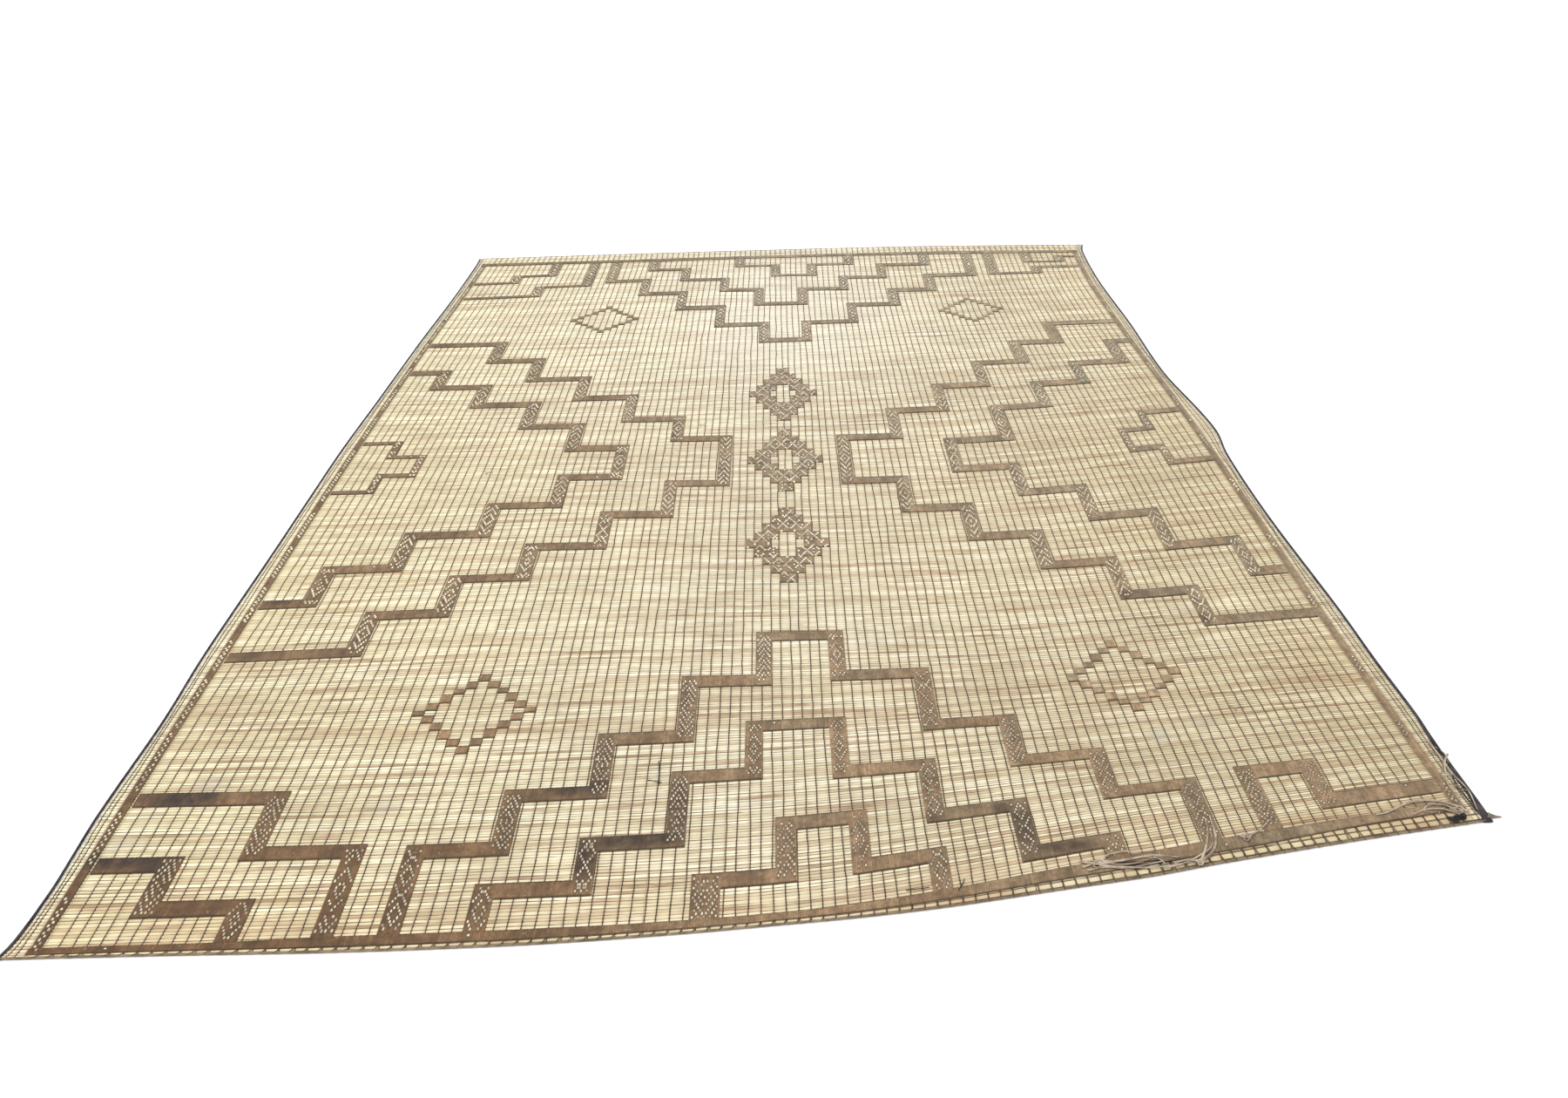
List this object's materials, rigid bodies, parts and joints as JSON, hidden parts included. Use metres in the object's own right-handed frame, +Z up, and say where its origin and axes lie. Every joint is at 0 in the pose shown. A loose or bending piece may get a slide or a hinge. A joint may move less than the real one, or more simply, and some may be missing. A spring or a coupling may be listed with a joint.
{
  "type": "tuareg mat",
  "caption": "Large reed and leather floor mat lying flat, with stepped leather bands, lozenges, open diamonds and bound side edges.",
  "frame": {"origin": "middle of the whole mat seen from above, at the height of the floor that it lies on", "axes": "+Z up from the floor, +Y along the leather cords from the near edge to the far edge, +X along the reeds to the right"},
  "size_m": [2.7919, 3.8039, 0.0128],
  "materials": {
    "reed": "dry split reed stems, pale cream to straw, semi-matt",
    "leather": "worn brown goat leather woven over the reeds, matt",
    "dark_leather": "near black leather binding, rubbed, matt",
    "thong": "thin grey brown leather cord, matt"
  },
  "bodies": {
    "root": {"reed_sheet": "reed", "frame_left": "leather", "frame_right": "leather", "frame_near": "leather", "frame_far": "leather", "zigzag_far_outer": "leather", "zigzag_far_second": "leather", "zigzag_far_third": "leather", "zigzag_near_outer": "leather", "zigzag_near_second": "leather", "zigzag_near_third": "leather", "zigzag_left_outer": "leather", "zigzag_left_inner": "leather", "zigzag_left_small": "leather", "zigzag_right_outer": "leather", "zigzag_right_inner": "leather", "zigzag_right_small": "leather", "corner_far_left_outer": "leather", "corner_far_left_inner": "leather", "corner_far_right_outer": "leather", "corner_far_right_inner": "leather", "corner_near_left_outer": "leather", "corner_near_left_inner": "leather", "corner_near_right": "leather", "lozenge_far": "leather", "lozenge_middle": "leather", "lozenge_near": "leather", "diamond_far_left": "leather", "diamond_far_right": "leather", "diamond_near_left": "leather", "diamond_near_right": "leather", "binding_left": "dark_leather", "binding_right": "dark_leather", "corner_tab": "dark_leather", "edge_cord_near": "thong", "edge_cord_far": "thong", "loose_ends_hem": "thong", "loose_ends_ribbon": "thong", "loose_ends_corner": "thong"}
  },
  "joints": []
}
